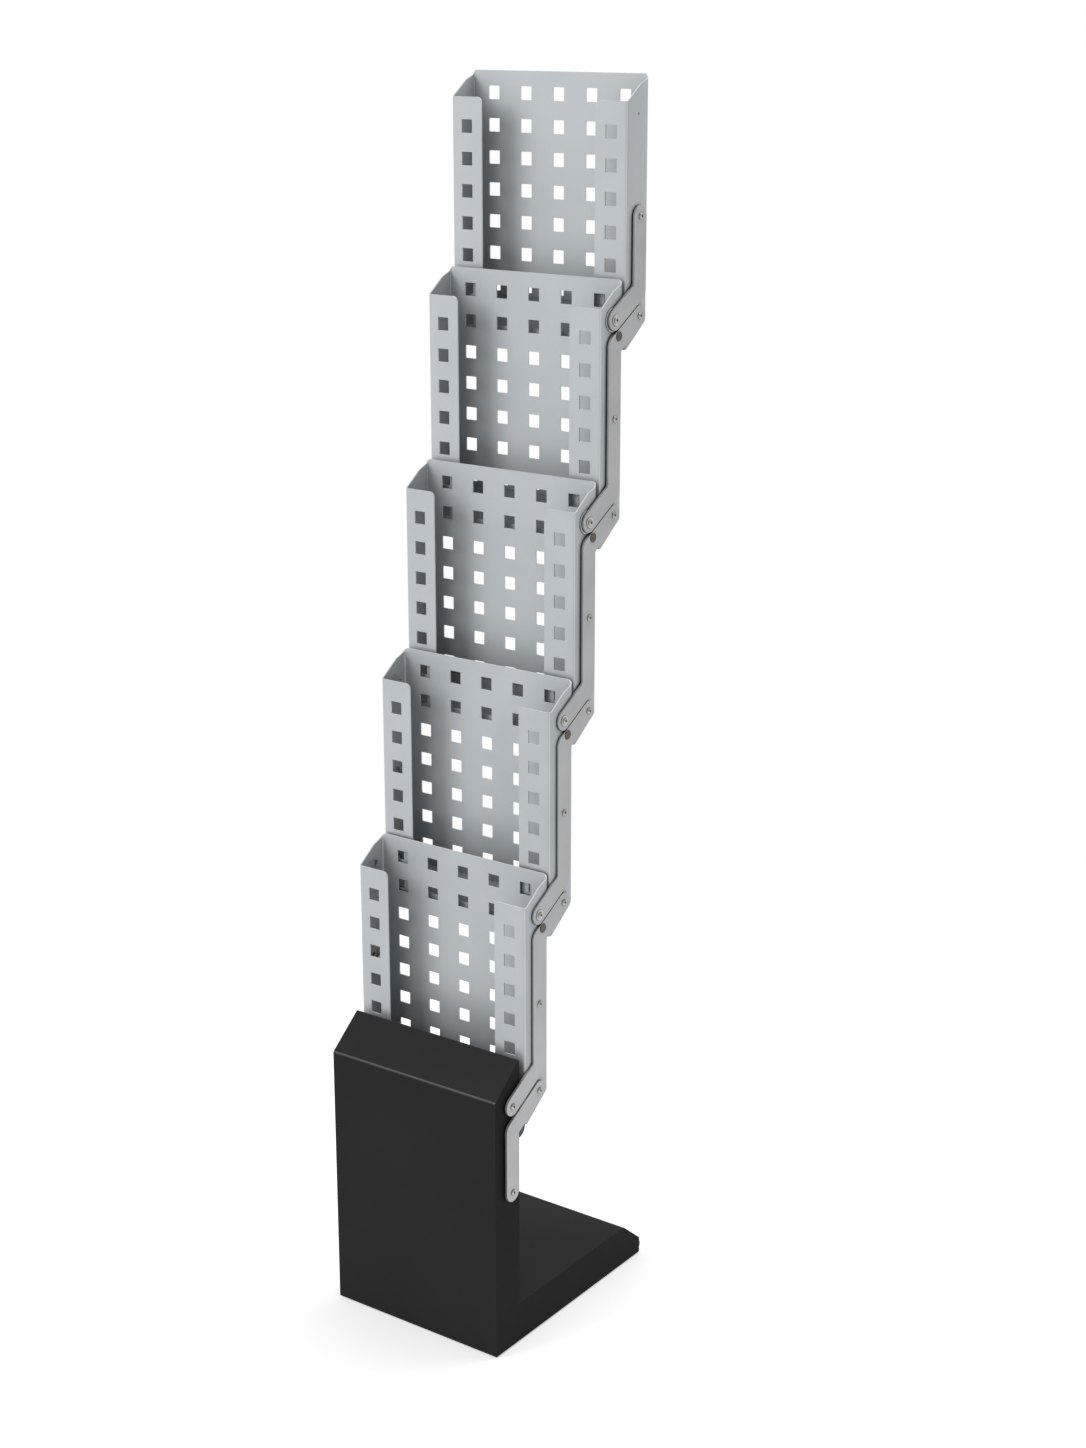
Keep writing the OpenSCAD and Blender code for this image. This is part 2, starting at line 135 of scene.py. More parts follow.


# %% [markdown]
# ## The trays' coat
#
# The trays are steel with a silver powder coat. The powder holds fine aluminium flakes, so it is a paint
# with a little metal in it: soft reflections with a cool tint. It is sprayed and baked, which leaves a skin
# like orange peel, and its tone drifts a little over a hand's width. A wide noise makes the drift, and a
# fine one makes both the grains and the skin. The grains are really about 0.4 mm wide, and are drawn twice
# as coarse so that they show. Shade is painted into two widths of recess, the deep pockets and the narrow
# gaps beside the links. The cut edges and the middles of the folds are painted paler, as a painted highlight.

# %% Silver powder coat
def silver_coat(name, dark, light, roughness):
    material, tree, shader = new_material(name)
    place = add(tree, "ShaderNodeTexCoord").outputs["Object"]
    drift = add(tree, "ShaderNodeTexNoise", {"Vector": place, "Scale": per_metre(90), "Detail": 2})
    flakes = add(tree, "ShaderNodeTexNoise", {"Vector": place, "Scale": per_metre(0.9), "Detail": 1})
    mixed = add(tree, "ShaderNodeMath", {0: drift.outputs["Fac"], 1: 0.72}, operation="MULTIPLY")
    share = add(tree, "ShaderNodeMath", {0: flakes.outputs["Fac"], 1: 0.28, 2: mixed.outputs[0]},
                operation="MULTIPLY_ADD")
    tone = add(tree, "ShaderNodeValToRGB", {"Fac": share.outputs[0]})
    tone.color_ramp.elements[0].position = 0.3
    tone.color_ramp.elements[0].color = linear(dark)
    tone.color_ramp.elements[1].position = 0.7
    tone.color_ramp.elements[1].color = linear(light)
    gloss = add(tree, "ShaderNodeMapRange", {
        "Value": flakes.outputs["Fac"], "To Min": roughness - 0.05, "To Max": roughness + 0.06})
    peel = add(tree, "ShaderNodeBump", {
        "Height": flakes.outputs["Fac"], "Strength": 0.12, "Distance": 0.05 * MM})
    # Painted shade: the colour is darkened inside the pockets and in the narrow gaps beside the links
    pocket_painted_shade = painted_recess_shade(
        tree, tone.outputs["Color"], reach_mm=70, darkest=0.66, closed=0.35, clear=0.8)
    gap_painted_shade = painted_recess_shade(tree, pocket_painted_shade, reach_mm=4, darkest=0.06, closed=0.3, clear=0.85)
    tree.links.new(gap_painted_shade, shader.inputs["Base Color"])
    tree.links.new(gloss.outputs["Result"], shader.inputs["Roughness"])
    tree.links.new(peel.outputs["Normal"], shader.inputs["Normal"])
    shader.inputs["Metallic"].default_value = 0.15
    return material


# The coat gives a calm satin grey, and its edge a paler tone, a painted highlight line
tray_coat = silver_coat("silver_powder_coat", "#b4babe", "#bfc4c8", roughness=0.46)
tray_edge_painted_highlight = silver_coat("silver_coat_painted_edge_highlight", "#d2d6d9", "#dee1e3", roughness=0.38)
print("trays' finishes:", tray_coat.name, tray_edge_painted_highlight.name)

# %% [markdown]
# ## The links' finish
#
# The links are cut from aluminium plate and bead-blasted before they are anodised. Blasting leaves tiny
# even dents, so the metal looks like grey satin with a broad highlight. The cut edges are painted brighter,
# as a painted highlight. The round spacers are turned from the same metal, which leaves them paler. The
# dents are drawn about twice as coarse as real ones so that they show, and smears of skin oil a few
# centimetres wide change the tone. Shade is painted into the gaps between the links and around the heads.
# The same nodes make all three, with other tones and another gloss.

# %% Blasted and anodised aluminium
def blasted_aluminium(name, dark, light, roughness, metallic, shade_reach_mm):
    material, tree, shader = new_material(name)
    place = add(tree, "ShaderNodeTexCoord").outputs["Object"]
    dents = add(tree, "ShaderNodeTexNoise", {"Vector": place, "Scale": per_metre(0.8), "Detail": 2})
    smears = add(tree, "ShaderNodeTexNoise", {"Vector": place, "Scale": per_metre(45), "Detail": 3})
    tone = add(tree, "ShaderNodeValToRGB", {"Fac": smears.outputs["Fac"]})
    tone.color_ramp.elements[0].position = 0.32
    tone.color_ramp.elements[0].color = linear(dark)
    tone.color_ramp.elements[1].position = 0.68
    tone.color_ramp.elements[1].color = linear(light)
    gloss = add(tree, "ShaderNodeMapRange", {
        "Value": dents.outputs["Fac"], "To Min": roughness - 0.04, "To Max": roughness + 0.05})
    skin = add(tree, "ShaderNodeBump", {
        "Height": dents.outputs["Fac"], "Strength": 0.1, "Distance": 0.04 * MM})
    # Painted shade: the colour is darkened in the gaps between links and around the heads
    shaded = painted_recess_shade(
        tree, tone.outputs["Color"], reach_mm=shade_reach_mm, darkest=0.05, closed=0.5, clear=0.93)
    tree.links.new(shaded, shader.inputs["Base Color"])
    tree.links.new(gloss.outputs["Result"], shader.inputs["Roughness"])
    tree.links.new(skin.outputs["Normal"], shader.inputs["Normal"])
    shader.inputs["Metallic"].default_value = metallic
    return material


# Grey satin for the face, a brighter painted highlight for its edge, pale silver for the spacers
link_face = blasted_aluminium("blasted_anodised_aluminium", "#adaeaf", "#b6b7b8",
                              roughness=0.4, metallic=0.55, shade_reach_mm=3.5)
link_edge_painted_highlight = blasted_aluminium("aluminium_painted_edge_highlight", "#b8b9ba", "#c8c8c8",
                              roughness=0.32, metallic=0.6, shade_reach_mm=3.5)
spacer_face = blasted_aluminium("turned_aluminium", "#c6c7c8", "#d4d5d6",
                                roughness=0.34, metallic=0.5, shade_reach_mm=1.6)
print("links' finishes:", link_face.name, link_edge_painted_highlight.name, spacer_face.name)

# %% [markdown]
# ## The base's coat
#
# The base has a black powder coat with a fine texture. Black paint is never quite black: it gives back
# about two hundredths of the light, and its grain breaks up the reflections. The grain is really about half
# a millimetre wide, and is drawn twice as coarse so that it shows. The folds are glossier and painted a
# little lighter, a painted highlight. The side plates are painted darker, as painted shade. The faces that
# look up are painted lighter, a painted top light, which the normal's height tells.

# %% Black powder coat
# How many times lighter a face that looks up is painted, as painted top light
PAINTED_TOP_LIGHT = 1.3


def black_coat(name, dark, light, roughness, reflection):
    material, tree, shader = new_material(name)
    place = add(tree, "ShaderNodeTexCoord").outputs["Object"]
    grain = add(tree, "ShaderNodeTexNoise", {"Vector": place, "Scale": per_metre(1.1), "Detail": 2})
    drift = add(tree, "ShaderNodeTexNoise", {"Vector": place, "Scale": per_metre(120), "Detail": 2})
    tone = add(tree, "ShaderNodeValToRGB", {"Fac": drift.outputs["Fac"]})
    tone.color_ramp.elements[0].position = 0.3
    tone.color_ramp.elements[0].color = linear(dark)
    tone.color_ramp.elements[1].position = 0.7
    tone.color_ramp.elements[1].color = linear(light)
    gloss = add(tree, "ShaderNodeMapRange", {
        "Value": grain.outputs["Fac"], "To Min": roughness - 0.06, "To Max": roughness + 0.08})
    skin = add(tree, "ShaderNodeBump", {
        "Height": grain.outputs["Fac"], "Strength": 0.15, "Distance": 0.06 * MM})
    # Painted top light: a face that looks up is made lighter
    facing = add(tree, "ShaderNodeNewGeometry").outputs["Normal"]
    upward = add(tree, "ShaderNodeSeparateXYZ", {"Vector": facing})
    dust_and_painted_top_light = add(tree, "ShaderNodeMapRange", {
        "Value": upward.outputs["Z"], "From Min": 0.2, "From Max": 0.7, "To Min": 1, "To Max": PAINTED_TOP_LIGHT})
    painted_top_lit = add(tree, "ShaderNodeVectorMath", {0: tone.outputs["Color"], "Scale": dust_and_painted_top_light.outputs["Result"]},
                 operation="SCALE")
    tree.links.new(painted_top_lit.outputs["Vector"], shader.inputs["Base Color"])
    tree.links.new(gloss.outputs["Result"], shader.inputs["Roughness"])
    tree.links.new(skin.outputs["Normal"], shader.inputs["Normal"])
    shader.inputs["Specular IOR Level"].default_value = reflection
    return material


# Soft black for the panels, a glossier coat with a painted highlight for the folds, painted shade for the
# side plates
base_coat = black_coat("black_powder_coat", "#272728", "#2a2a2b", roughness=0.5, reflection=0.04)
base_fold_painted_highlight = black_coat("black_coat_painted_fold_highlight", "#2b2b2c", "#343435", roughness=0.35, reflection=0.35)
base_side_painted_shade = black_coat("black_coat_side_painted_shade", "#1d1d1d", "#202020",
                            roughness=0.5, reflection=0.04)
print("base's finishes:", base_coat.name, base_fold_painted_highlight.name, base_side_painted_shade.name)

# %% [markdown]
# ## Fasteners, rubber and iron
#
# The screws are turned stainless steel, a full metal whose fine turning rings only roughen its gloss. A
# metal shows what surrounds it, here a pale studio, so shade is painted into the recesses to make the hex
# sockets and the foot of each head stand out. The studs are dark burnished steel, the nuts and brackets are
# zinc-plated, and the ballast is cast iron. They differ in tone, grain and gloss, so one function makes them
# all. The bumpers are moulded black rubber, a smooth skin with dusty patches that shines a little. The real
# grains are a few tenths of a millimetre wide, and are drawn coarser so that they show.

# %% Turned steel, zinc and iron
def metal(name, dark, light, grain_mm, roughness, spread, bump):
    material, tree, shader = new_material(name)
    place = add(tree, "ShaderNodeTexCoord").outputs["Object"]
    grain = add(tree, "ShaderNodeTexNoise", {"Vector": place, "Scale": per_metre(grain_mm), "Detail": 3})
    tone = add(tree, "ShaderNodeValToRGB", {"Fac": grain.outputs["Fac"]})
    tone.color_ramp.elements[0].position = 0.3
    tone.color_ramp.elements[0].color = linear(dark)
    tone.color_ramp.elements[1].position = 0.7
    tone.color_ramp.elements[1].color = linear(light)
    gloss = add(tree, "ShaderNodeMapRange", {
        "Value": grain.outputs["Fac"], "To Min": roughness, "To Max": roughness + spread})
    skin = add(tree, "ShaderNodeBump", {
        "Height": grain.outputs["Fac"], "Strength": bump, "Distance": 0.05 * MM})
    # Painted shade: the colour is darkened in the hex sockets and at the foot of each head
    shaded = painted_recess_shade(
        tree, tone.outputs["Color"], reach_mm=4, darkest=0.02, closed=0.55, clear=0.97)
    tree.links.new(shaded, shader.inputs["Base Color"])
    tree.links.new(gloss.outputs["Result"], shader.inputs["Roughness"])
    tree.links.new(skin.outputs["Normal"], shader.inputs["Normal"])
    shader.inputs["Metallic"].default_value = 1
    return material


# Bright heads, pale grey nuts, brown-grey studs and a rough dark lump of iron
screw_steel = metal("turned_stainless_steel", "#98938c", "#c8c3bc",
                    grain_mm=0.7, roughness=0.16, spread=0.12, bump=0.06)
zinc_steel = metal("zinc_plated_steel", "#a9acae", "#c4c7c9",
                   grain_mm=1.6, roughness=0.3, spread=0.15, bump=0.1)
stud_steel = metal("burnished_dark_steel", "#57514b", "#6a635b",
                   grain_mm=1.2, roughness=0.32, spread=0.12, bump=0.1)
ballast_iron = metal("cast_iron", "#4a4947", "#5d5b58",
                     grain_mm=2.4, roughness=0.55, spread=0.2, bump=0.5)
print("metals:", screw_steel.name, zinc_steel.name, stud_steel.name, ballast_iron.name)

# %% Rubber
def moulded_rubber(name):
    material, tree, shader = new_material(name)
    place = add(tree, "ShaderNodeTexCoord").outputs["Object"]
    grain = add(tree, "ShaderNodeTexNoise", {"Vector": place, "Scale": per_metre(1.5), "Detail": 2})
    dust_and_painted_top_light = add(tree, "ShaderNodeTexNoise", {"Vector": place, "Scale": per_metre(14), "Detail": 4})
    tone = add(tree, "ShaderNodeValToRGB", {"Fac": dust_and_painted_top_light.outputs["Fac"]})
    tone.color_ramp.elements[0].position = 0.45
    tone.color_ramp.elements[0].color = linear("#0f0f0f")
    tone.color_ramp.elements[1].position = 0.8
    tone.color_ramp.elements[1].color = linear("#1d1d1d")
    gloss = add(tree, "ShaderNodeMapRange", {"Value": dust_and_painted_top_light.outputs["Fac"], "To Min": 0.22, "To Max": 0.42})
    skin = add(tree, "ShaderNodeBump", {
        "Height": grain.outputs["Fac"], "Strength": 0.1, "Distance": 0.04 * MM})
    tree.links.new(tone.outputs["Color"], shader.inputs["Base Color"])
    tree.links.new(gloss.outputs["Result"], shader.inputs["Roughness"])
    tree.links.new(skin.outputs["Normal"], shader.inputs["Normal"])
    return material


# Deep black with a dull shine, paler where dust lies
rubber = moulded_rubber("moulded_black_rubber")
print("materials:", len(bpy.data.materials))

# %% [markdown]
# ## From a mesh to a piece
#
# Every sheet-metal piece ends the same way. Its mesh is cleaned, becomes an object at the origin, gets its
# finishes, rides on the body that carries it, and stands for the plain solid of the frame. A sheet is
# modelled as a surface. Solidify then gives it the real thickness, and its rim, the cut edge, takes the
# second finish. A narrow bevel breaks the sharp edges, as deburring does.

# %% Helper for pieces
TOUCHING = 0.001 * MM


def finish_piece(name, bm, body, nodes, finishes, thickness=0, edge=0.2, edge_finish=1):
    """Makes the object, with the sheet's thickness and the width of the broken edges in millimetres.

    The broken edges take the finish of that place in the list.
    """
    bmesh.ops.remove_doubles(bm, verts=bm.verts, dist=TOUCHING)
    bmesh.ops.recalc_face_normals(bm, faces=bm.faces)
    mesh = bpy.data.meshes.new(name)
    bm.to_mesh(mesh)
    bm.free()
    piece = bpy.data.objects.new(name, mesh)
    bpy.context.scene.collection.objects.link(piece)
    for finish in finishes:
        mesh.materials.append(finish)
    if thickness:
        wall = piece.modifiers.new("sheet thickness", "SOLIDIFY")
        wall.thickness = thickness * MM
        wall.offset = -1
        wall.use_even_offset = True
        wall.material_offset_rim = 1
    broken = piece.modifiers.new("broken edges", "BEVEL")
    broken.width = edge * MM
    broken.segments = 2
    broken.limit_method = "ANGLE"
    broken.angle_limit = math.radians(50)
    broken.harden_normals = True
    broken.material = edge_finish
    for face in mesh.polygons:
        face.use_smooth = True
    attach(piece, body)
    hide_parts(*nodes)
    return piece


# %% Helpers for sheets
ON_PLANE = 0.0001 * MM
# A face looks along an axis where that part of its normal is larger than this
FACING = 0.99


def moved_copy(bm, offset):
    """A copy of a bmesh at another place."""
    copy = bm.copy()
    bmesh.ops.translate(copy, verts=copy.verts, vec=offset)
    return copy


def faces_where(bm, test):
    """The faces whose middle, in millimetres, and normal pass a test."""
    return [f for f in bm.faces if test(f.calc_center_median() / MM, f.normal)]


def cut(bm, faces, at, normal, drop=False):
    """Cuts some faces along a plane, and can drop those of them that lie beyond it."""
    edges = {e for f in faces for e in f.edges}
    verts = {v for f in faces for v in f.verts}
    parts = bmesh.ops.bisect_plane(bm, geom=[*faces, *edges, *verts], dist=ON_PLANE, plane_co=at,
                                   plane_no=normal)["geom"]
    if drop:
        beyond = [part for part in parts if isinstance(part, bmesh.types.BMFace)
                  and (part.calc_center_median() - at).dot(Vector(normal)) > 0]
        bmesh.ops.delete(bm, geom=beyond, context="FACES")


# %% [markdown]
# ## A tray's shell
#
# A real tray starts as a flat sheet that is punched and then folded four times: a back, two sides and two
# flanges that hold the brochures in. The outline of a fold is easier to reach from a box: its top, its
# bottom and the middle of its front are deleted, and a bevel turns its four upright edges into the folds.
# Then planes cut off the sloping top and bottom, and more planes mark the punched holes, whose faces are
# deleted. The sizes are those of the solid model, in millimetres. The front face is at y = 0 and the top
# pivot at z = 0.

# %% Sizes of a shell
WIDTH, DEPTH, SHEET, FOLD = 240, 42, 1.5, 3
RIM_BACK, RIM_FRONT = 42, 14
FLOOR_BACK, FLOOR_FRONT = -225, -254
FLANGE_W = 42
FLANGE_X = WIDTH / 2 - FLANGE_W
HOLE, COLUMN, ROW, FIRST_ROW = 15, 45, 36, RIM_BACK - 24.5
BACK_ROWS, FLANGE_ROWS = range(7), range(1, 8)
PIVOTS, PIVOT_TO_BACK, BORE_R, BORE_MARK = (0, -109, -218), 20, 2.1, 4
print("holes in a shell:", 5 * len(BACK_ROWS) + 2 * len(FLANGE_ROWS), "square,", 2 * len(PIVOTS), "round")


# %% Holes
def punch(bm, panel, columns, rows):
    """Marks rows and columns of square holes on one panel with planes and takes their faces out."""
    for centres, normal in ((columns, (1, 0, 0)), (rows, (0, 0, 1))):
        for centre in centres:
            for edge in (centre - HOLE / 2, centre + HOLE / 2):
                cut(bm, faces_where(bm, panel), Vector(normal) * edge * MM, normal)

    def inside(value, centres):
        return any(abs(value - centre) < HOLE / 2 for centre in centres)

    holes = faces_where(bm, lambda c, n: panel(c, n) and inside(c.x, columns) and inside(c.z, rows))
    bmesh.ops.delete(bm, geom=holes, context="FACES")


def bore(bm, side, y, z):
    """A round pivot hole in a side: a square is taken out, and filled in again around a circle."""
    for centre, normal in ((y, (0, 1, 0)), (z, (0, 0, 1))):
        for edge in (centre - BORE_MARK, centre + BORE_MARK):
            panel = faces_where(bm, lambda c, n: n.x * side > FACING)
            cut(bm, panel, Vector(normal) * edge * MM, normal)
    square = faces_where(bm, lambda c, n: n.x * side > FACING and abs(c.y - y) < BORE_MARK
                         and abs(c.z - z) < BORE_MARK)
    frame_edges = {edge for face in square for edge in face.edges}
    bmesh.ops.delete(bm, geom=square, context="FACES_ONLY")
    place = Matrix.Translation(Vector((side * WIDTH / 2, y, z)) * MM) @ Matrix.Rotation(math.pi / 2, 4, "Y")
    circle = bmesh.ops.create_circle(bm, segments=20, radius=BORE_R * MM, matrix=place)["verts"]
    circle_edges = {edge for vert in circle for edge in vert.link_edges}
    bmesh.ops.triangle_fill(bm, use_beauty=True, use_dissolve=False, edges=[*frame_edges, *circle_edges])
    bm.normal_update()


# %% A box with its folds
def folded_box():
    """Back, sides and front flanges between the highest and the lowest level, without holes."""
    bm = bmesh.new()
    bmesh.ops.create_cube(bm, size=1)
    height = RIM_BACK - FLOOR_FRONT
    bmesh.ops.scale(bm, verts=bm.verts, vec=Vector((WIDTH, DEPTH, height)) * MM)
    bmesh.ops.translate(bm, verts=bm.verts, vec=Vector((0, DEPTH / 2, FLOOR_FRONT + height / 2)) * MM)
    caps = faces_where(bm, lambda c, n: abs(n.z) > FACING)
    bmesh.ops.delete(bm, geom=caps, context="FACES_ONLY")
    upright = [e for e in bm.edges if abs((e.verts[0].co - e.verts[1].co).z) > height / 2 * MM]
    folds = bmesh.ops.bevel(bm, geom=upright, offset=FOLD * MM, segments=5, profile=0.5, affect="EDGES",
                            material=-1)
    # The middle of each fold takes the paler edge finish, a painted highlight along the fold
    for face in folds["faces"]:
        face.normal_update()
        if abs(abs(face.normal.x) - abs(face.normal.y)) < 0.1:
            face.material_index = 1
    for x in (-FLANGE_X, FLANGE_X):
        cut(bm, faces_where(bm, lambda c, n: n.y < -FACING), Vector((x, 0, 0)) * MM, (1, 0, 0))
    opening = faces_where(bm, lambda c, n: n.y < -FACING and abs(c.x) < FLANGE_X)
    bmesh.ops.delete(bm, geom=opening, context="FACES")
    return bm


# %% Sloping ends
def slope_ends(bm):
    """The front stays level up to one sheet's thickness, then the rim and the floor's edge slope."""
    for y in (SHEET, DEPTH - SHEET):
        cut(bm, bm.faces[:], Vector((0, y, 0)) * MM, (0, 1, 0))
    run = DEPTH - 2 * SHEET
    bm.normal_update()
    front = faces_where(bm, lambda c, n: c.y < SHEET)
    cut(bm, front, Vector((0, 0, RIM_FRONT)) * MM, (0, 0, 1), drop=True)
    sides = faces_where(bm, lambda c, n: SHEET < c.y < DEPTH - SHEET)
    cut(bm, sides, Vector((0, SHEET, RIM_FRONT)) * MM, (0, RIM_FRONT - RIM_BACK, run), drop=True)
    sides = faces_where(bm, lambda c, n: SHEET < c.y < DEPTH - SHEET)
    cut(bm, sides, Vector((0, SHEET, FLOOR_FRONT)) * MM, (0, FLOOR_BACK - FLOOR_FRONT, -run), drop=True)
    rear = faces_where(bm, lambda c, n: c.y > DEPTH - SHEET)
    cut(bm, rear, Vector((0, 0, FLOOR_BACK)) * MM, (0, 0, -1), drop=True)


# %% The whole sheet
def tray_sheet():
    bm = folded_box()
    slope_ends(bm)
    back_columns = [COLUMN * i for i in range(-2, 3)]
    flange_columns = [side * (FLANGE_X + FLANGE_W / 2) for side in (-1, 1)]
    punch(bm, lambda c, n: n.y > FACING, back_columns, [FIRST_ROW - ROW * i for i in BACK_ROWS])
    punch(bm, lambda c, n: n.y < -FACING, flange_columns, [FIRST_ROW - ROW * i for i in FLANGE_ROWS])
    for side in (-1, 1):
        for z in PIVOTS:
            bore(bm, side, DEPTH - PIVOT_TO_BACK, z)
    return bm


sheet_bm = tray_sheet()
print("tray sheet:", len(sheet_bm.faces), "faces")

# %% [markdown]
# ## Corners for the hands
#
# Hands reach into the trays, so the flanges' corners are cut round. A bevel of a single vertex does that in
# a flat sheet. The corners of the back's rim lie where the sheet is folded, and a bevel would tear the fold
# open. There the vertices that already exist are lowered along an arc, after two more cuts on each side
# have given the arc its steps.

# %% Round corners
CORNER_R, ROLL = 6, 5.5
NEAR = 0.01 * MM
for z in (RIM_FRONT, FLOOR_FRONT):
    corners = [v for v in sheet_bm.verts if abs(abs(v.co.x) - FLANGE_X * MM) < NEAR
               and abs(v.co.y) < NEAR and abs(v.co.z - z * MM) < NEAR]
    bmesh.ops.bevel(sheet_bm, geom=corners, offset=CORNER_R * MM, segments=6, profile=0.5, affect="VERTICES",
                    material=-1)

for x in (WIDTH / 2 - ROLL, WIDTH / 2 - ROLL * 0.7):
    for side in (-1, 1):
        rear = faces_where(sheet_bm, lambda c, n: n.y > FACING and c.z > FIRST_ROW + HOLE / 2)
        cut(sheet_bm, rear, Vector((side * x, 0, 0)) * MM, (1, 0, 0))
for vert in sheet_bm.verts:
    reach = abs(vert.co.x) / MM - (WIDTH / 2 - ROLL)
    if reach > 0 and vert.co.y > (DEPTH - FOLD) * MM - NEAR and vert.co.z > (RIM_BACK - ROLL) * MM:
        vert.co.z = min(vert.co.z, (RIM_BACK - ROLL + math.sqrt(max(0, ROLL ** 2 - reach ** 2))) * MM)
print("corners rounded:", len(sheet_bm.verts), "vertices")

# %% Five trays
for k in range(1, 6):
    low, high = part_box(f"tray_{k}_shell")
    pivot_z = high.z - RIM_BACK * MM
    finish_piece(f"tray_{k}_folded_sheet", moved_copy(sheet_bm, Vector((0, low.y, pivot_z))), f"tray_{k}",
                 [f"tray_{k}_shell"], [tray_coat, tray_edge_painted_highlight], thickness=SHEET)
sheet_bm.free()
print("trays:", k)

# %% [markdown]
# ## The links
#
# A link is a flat dog-leg: straight along the tray's side, then slanting to the next tray. It is laser-cut
# from plate. Here its outline starts as a few corners, and bevels of single vertices round them: wide ones
# make the half-round ends, narrower ones both corners of each bend. Circles are laid in for the pivots, one
# operator fills between the loops, and an extrusion gives the plate its thickness.

# %% Sizes of a link
LINK_W, LINK_T, SPACING, PIN_BORE_R = 23, 3, 109, 2.06
STEP, BASE_STEP, NEST_GAP, FILLET = 48, 52, 1.4, 4
SLANT = math.asin((LINK_W + NEST_GAP) / STEP)
half = LINK_W / 2
# A hair less than half the width, so that the two bevels of an end don't run into each other
ROUND_END = half * 0.999
print("links slant by", round(math.degrees(SLANT), 1), "degrees")


# %% Corners of one arm
def arm_corners(step):
    """Corners of an arm that goes up from the middle and then slants back, the right side first."""
    bend = SPACING - step * math.tan(SLANT)
    along = Vector((math.cos(SLANT), math.sin(SLANT)))
    across = Vector((-along.y, along.x))
    tip = Vector((step, SPACING)) + along * half
    shift = half * (math.tan(SLANT) - 1 / math.cos(SLANT))
    return {
        "inner": Vector((half, bend + shift)),
        "end": [tip - across * half, tip + across * half],
        "outer": Vector((-half, bend - shift)),
        "outer_run": half * math.tan((math.pi / 2 - SLANT) / 2),
        "inner_run": FILLET * math.tan((math.pi / 2 - SLANT) / 2),
    }


# %% One link
def link_plate(up_step, down_step):
    """A plate in the y-z plane with its inner face at x = 0 and its middle pivot at the origin."""
    corners, pivots = [], [Vector((0, 0))]
    for step, turn in ((up_step, 1), (down_step, -1)):
        if step:
            arm = arm_corners(step)
            corners += [(arm["inner"] * turn, arm["inner_run"]), (arm["end"][0] * turn, ROUND_END),
                        (arm["end"][1] * turn, ROUND_END), (arm["outer"] * turn, arm["outer_run"])]
            pivots.append(Vector((step, SPACING)) * turn)
        else:
            corners += [(Vector((half, half)) * turn, ROUND_END),
                        (Vector((-half, half)) * turn, ROUND_END)]
    bm = bmesh.new()
    verts = [bm.verts.new((0, c.x * MM, c.y * MM)) for c, run in corners]
    bm.faces.new(verts)
    for vert, (corner, run) in zip(verts, corners):
        # The wide rounds of the ends need more steps than the narrow ones
        steps = 10 if run > 2 * FILLET else 6
        bmesh.ops.bevel(bm, geom=[vert], offset=run * MM, segments=steps, profile=0.5, affect="VERTICES",
                        material=-1)
    bmesh.ops.delete(bm, geom=bm.faces[:], context="FACES_ONLY")
    for pivot in pivots:
        place = Matrix.Translation((0, pivot.x * MM, pivot.y * MM)) @ Matrix.Rotation(math.pi / 2, 4, "Y")
        bmesh.ops.create_circle(bm, segments=24, radius=PIN_BORE_R * MM, matrix=place)
    bmesh.ops.remove_doubles(bm, verts=bm.verts, dist=TOUCHING)
    bmesh.ops.triangle_fill(bm, use_beauty=True, use_dissolve=False, edges=bm.edges[:])
    extruded = bmesh.ops.extrude_face_region(bm, geom=bm.faces[:])
    top = [v for v in extruded["geom"] if isinstance(v, bmesh.types.BMVert)]
    bmesh.ops.translate(bm, verts=top, vec=(LINK_T * MM, 0, 0))
    return bm


# %% Six links on each side
for k in range(6):
    up_step = {0: BASE_STEP, 5: 0}.get(k, STEP)
    down_step = {0: 0, 1: BASE_STEP}.get(k, STEP)
    plate = link_plate(up_step, down_step)
    for side, sign in (("right", 1), ("left", -1)):
        low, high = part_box(f"link_{k}_{side}")
        pivot_y = low.y + half * MM + down_step * MM
        pivot_z = low.z + half * MM + (SPACING * MM if down_step else 0)
        inner_x = low.x if sign > 0 else high.x
        copy = plate.copy()
        if sign < 0:
            bmesh.ops.scale(copy, verts=copy.verts, vec=(-1, 1, 1))
        bmesh.ops.translate(copy, verts=copy.verts, vec=(inner_x, pivot_y, pivot_z))
        finish_piece(f"link_{k}_{side}_plate", copy, f"link_{k}", [f"link_{k}_{side}"],
                     [link_face, link_edge_painted_highlight], edge=0.4)
    plate.free()
print("links:", 2 * (k + 1))

# %% [markdown]
# ## The base
#
# The base is one housing of folded steel: an upright block with a sloping top in front, and a low foot
# behind it that ends in a slope. Its side outline is extruded across the width, because the corners of the
# outline are folds that run across the stand. The folds are rounder than the side edges, where a separate
# side plate is welded on and ground, and the inner corner behind the block stays sharp. The bottom is left
# open, because a plate closes it.

# %% Outline of the base
BASE_Z, BLOCK_DEPTH, FOOT_TOP, FOOT_END, END_RISE, END_RUN = 2, 46, 52, 303, 30, 36
BLOCK_BACK_TOP, BLOCK_FRONT_TOP, BASE_FOLD, BASE_SHEET, BASE_EDGE = 367, 329, 1.5, 2, 0.7
base_corners = [(0, BASE_Z), (FOOT_END, BASE_Z), (FOOT_END, FOOT_TOP - END_RISE),
                (FOOT_END - END_RUN, FOOT_TOP), (BLOCK_DEPTH, FOOT_TOP), (BLOCK_DEPTH, BLOCK_BACK_TOP),
                (0, BLOCK_FRONT_TOP)]
print("base outline:", len(base_corners), "corners")

